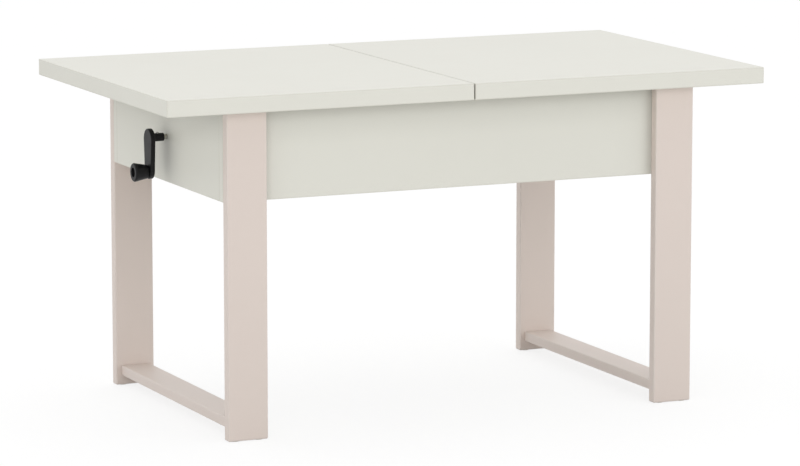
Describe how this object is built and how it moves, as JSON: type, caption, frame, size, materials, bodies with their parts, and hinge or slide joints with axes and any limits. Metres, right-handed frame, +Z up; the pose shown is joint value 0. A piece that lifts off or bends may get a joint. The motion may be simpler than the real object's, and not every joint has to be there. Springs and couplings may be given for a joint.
{
  "type": "extending coffee table",
  "caption": "Rectangular coffee table on flat board legs, with a crank-driven scissor lift and a split top whose halves slide apart for a stored insert leaf.",
  "frame": {"origin": "on the floor, under the middle of the top", "axes": "+X along the length away from the crank, -Y the front long side, +Z up"},
  "size_m": [1.1, 0.625, 0.582],
  "materials": {
    "cream_laminate": "smooth satin laminate on chipboard",
    "pink_lacquer": "smooth satin lacquer on board",
    "beech": "planed, untreated",
    "zinc_steel": "bright zinc plate",
    "black_powder_coat": "fine-textured powder coat",
    "anodised_aluminium": "matt anodised extrusion",
    "white_nylon": "moulded",
    "bronze": "turned bearing bronze",
    "black_abs": "moulded satin"
  },
  "bodies": {
    "base": {"leg_front_left": "pink_lacquer", "leg_back_left": "pink_lacquer", "leg_front_right": "pink_lacquer", "leg_back_right": "pink_lacquer", "leg_bolts": "zinc_steel", "stretcher_dowels": "beech", "floor_glides": "white_nylon", "stretcher_left": "pink_lacquer", "stretcher_right": "pink_lacquer", "apron_front": "cream_laminate", "apron_back": "cream_laminate", "apron_left": "cream_laminate", "apron_right": "cream_laminate", "corner_blocks": "beech", "base_channel_front": "zinc_steel", "base_channel_back": "zinc_steel", "channel_screws": "zinc_steel", "base_pivot_rivets": "zinc_steel", "bearing_block": "black_powder_coat", "bearing_bush": "bronze", "bearing_screws": "zinc_steel"},
    "scissor_a": {"arm_a_front": "black_powder_coat", "arm_a_back": "black_powder_coat", "scissor_rivets": "zinc_steel", "upper_glide_axles": "zinc_steel", "upper_glides": "white_nylon", "tie_rod_a": "zinc_steel"},
    "scissor_b": {"arm_b_front": "black_powder_coat", "arm_b_back": "black_powder_coat", "nut_bars": "zinc_steel", "lower_glides": "white_nylon", "tie_rod_b": "zinc_steel"},
    "nut": {"nut_block": "bronze"},
    "lift_frame": {"upper_channel_front": "zinc_steel", "upper_channel_back": "zinc_steel", "upper_pivot_rivets": "zinc_steel", "cross_tube_left": "black_powder_coat", "cross_tube_right": "black_powder_coat", "runner_rail_front": "anodised_aluminium", "runner_rail_back": "anodised_aluminium", "rail_screws": "zinc_steel", "rail_end_caps": "white_nylon", "insert_leaf": "cream_laminate", "leaf_dowels": "beech"},
    "top_half_left": {"top_left": "cream_laminate", "top_dowels": "beech", "runner_left_front": "white_nylon", "runner_left_back": "white_nylon", "runner_screws_left": "zinc_steel"},
    "top_half_right": {"top_right": "cream_laminate", "runner_right_front": "white_nylon", "runner_right_back": "white_nylon", "runner_screws_right": "zinc_steel"},
    "crank": {"lead_screw": "zinc_steel", "thrust_collar": "zinc_steel", "stop_collar": "zinc_steel", "crank_arm": "black_abs", "crank_set_screw": "zinc_steel", "knob_bolt": "zinc_steel"},
    "knob": {"crank_knob": "black_abs"}
  },
  "joints": [
    {"name": "lift", "type": "hinge", "parent": "base", "child": "scissor_a", "pos_m": [0.18, 0, 0.4775], "axis": [0, 1, 0], "range_deg": [0, 32.32]},
    {"name": "scissor_cross", "type": "hinge", "parent": "scissor_a", "child": "scissor_b", "pos_m": [0.00114, 0, 0.49775], "axis": [0, 1, 0], "range_deg": [-64.64, 0]},
    {"name": "frame_level", "type": "hinge", "parent": "scissor_b", "child": "lift_frame", "pos_m": [0.18, 0, 0.518], "axis": [0, 1, 0], "range_deg": [0, 32.32]},
    {"name": "nut_level", "type": "hinge", "parent": "scissor_b", "child": "nut", "pos_m": [-0.17771, 0, 0.4775], "axis": [0, 1, 0], "range_deg": [0, 32.32]},
    {"name": "crank_turn", "type": "hinge", "parent": "base", "child": "crank", "pos_m": [-0.432, 0, 0.4775], "axis": [1, 0, 0], "range_deg": [0, 6937.2]},
    {"name": "knob_spin", "type": "hinge", "parent": "crank", "child": "knob", "pos_m": [-0.479, 0, 0.4195], "axis": [1, 0, 0], "continuous": true},
    {"name": "left_slide", "type": "slide", "parent": "lift_frame", "child": "top_half_left", "axis": [-1, 0, 0], "range_m": [0, 0.205]},
    {"name": "right_slide", "type": "slide", "parent": "lift_frame", "child": "top_half_right", "axis": [1, 0, 0], "range_m": [0, 0.205]}
  ],
  "couplings": [
    {"joint": "scissor_cross", "follows": "lift", "ratio": -2},
    {"joint": "frame_level", "follows": "lift", "ratio": 1},
    {"joint": "nut_level", "follows": "lift", "ratio": 1},
    {"joint": "crank_turn", "follows": "lift", "ratio": 214.64}
  ]
}
